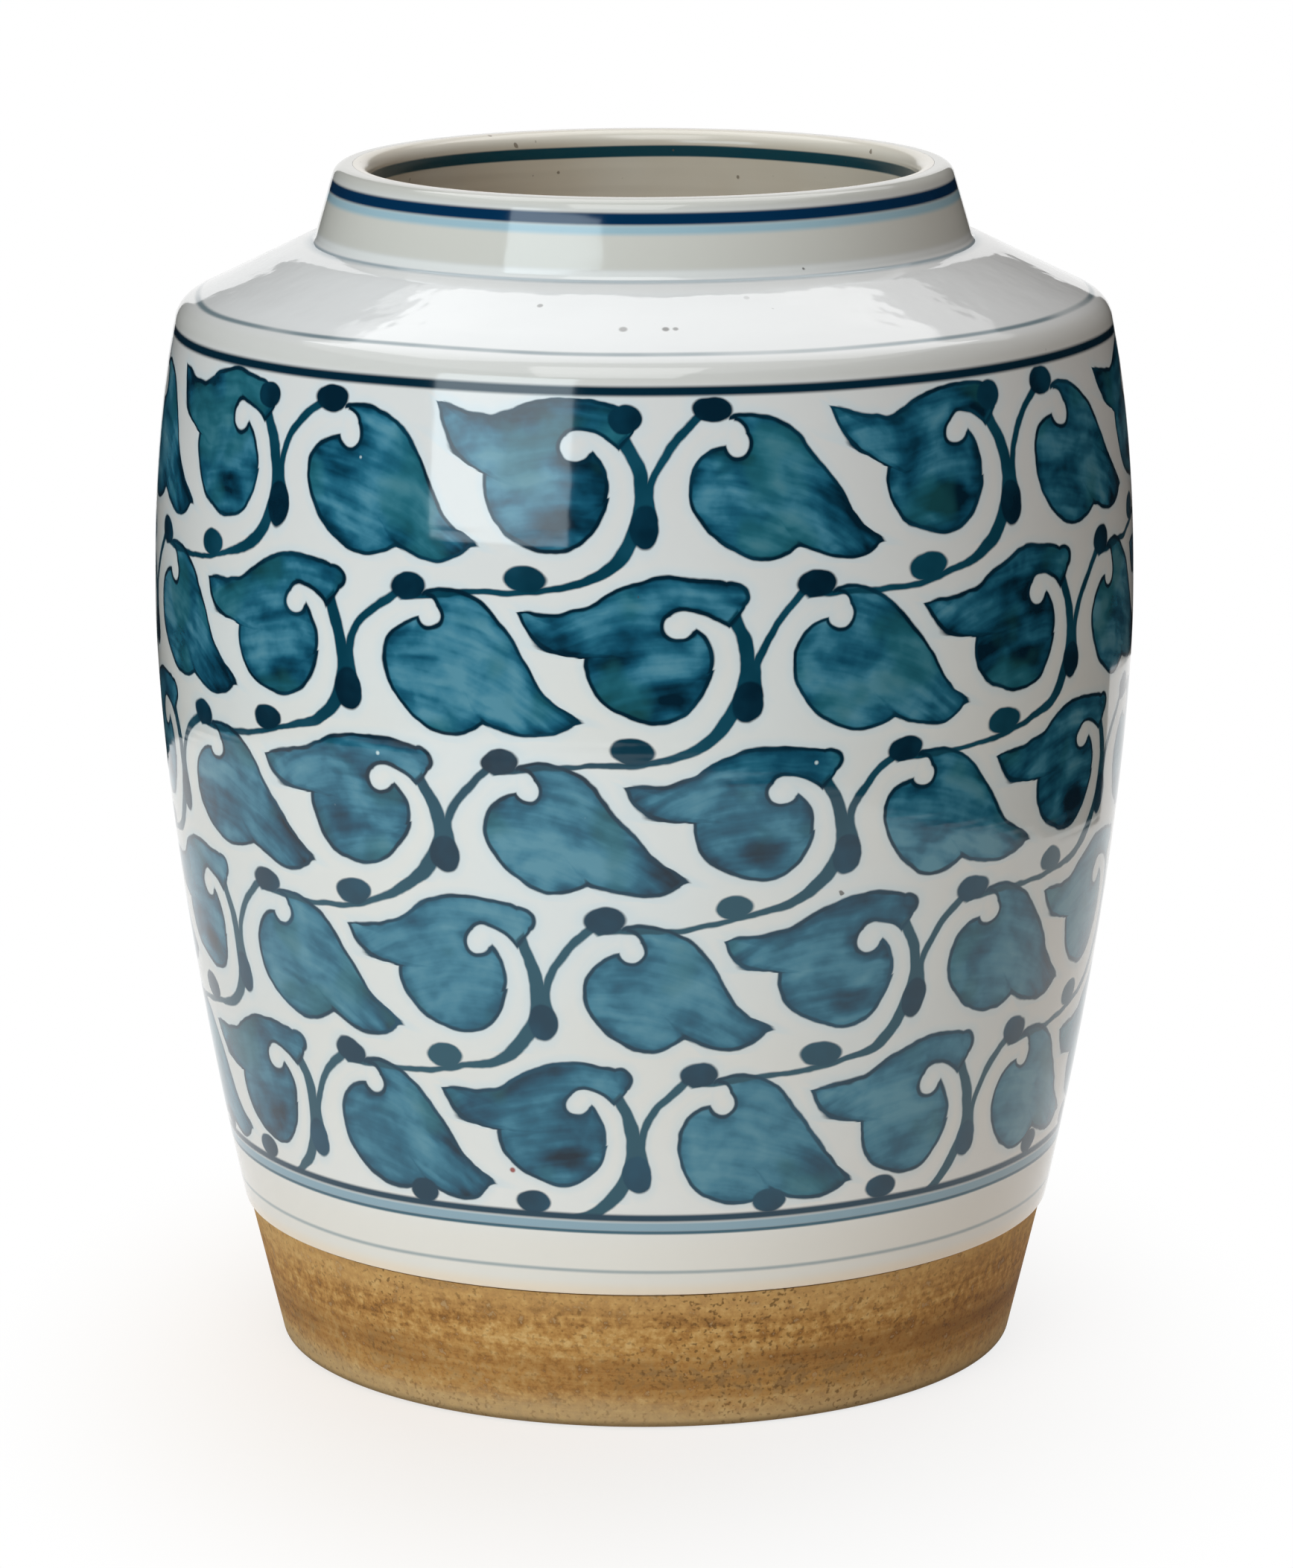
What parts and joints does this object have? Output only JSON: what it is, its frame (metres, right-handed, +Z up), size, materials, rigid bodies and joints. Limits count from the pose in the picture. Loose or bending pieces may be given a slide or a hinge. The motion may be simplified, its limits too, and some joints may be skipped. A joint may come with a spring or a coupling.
{
  "type": "stoneware vase",
  "caption": "Wide-shouldered stoneware vase with a low collar neck, white glaze painted with a blue leaf scroll, and a bare tan foot.",
  "frame": {"origin": "centre of the foot ring's underside, where the vase stands", "axes": "+Z up along the turning axis, towards the mouth; -Y towards the picture's camera"},
  "size_m": [0.1668, 0.1668, 0.203],
  "materials": {
    "bare_stoneware": "unglazed tan stoneware, fine turning lines",
    "covered_stoneware": "fired stoneware under the glaze",
    "white_glaze": "glossy warm white glaze with blue brush painting",
    "liner_glaze": "glossy cream liner glaze"
  },
  "bodies": {
    "root": {"base_disc": "bare_stoneware", "foot_wall": "bare_stoneware", "lower_body": "covered_stoneware", "upper_body": "covered_stoneware", "shoulder": "covered_stoneware", "neck_collar": "covered_stoneware", "outer_glaze": "white_glaze", "inner_glaze": "liner_glaze"}
  },
  "joints": []
}
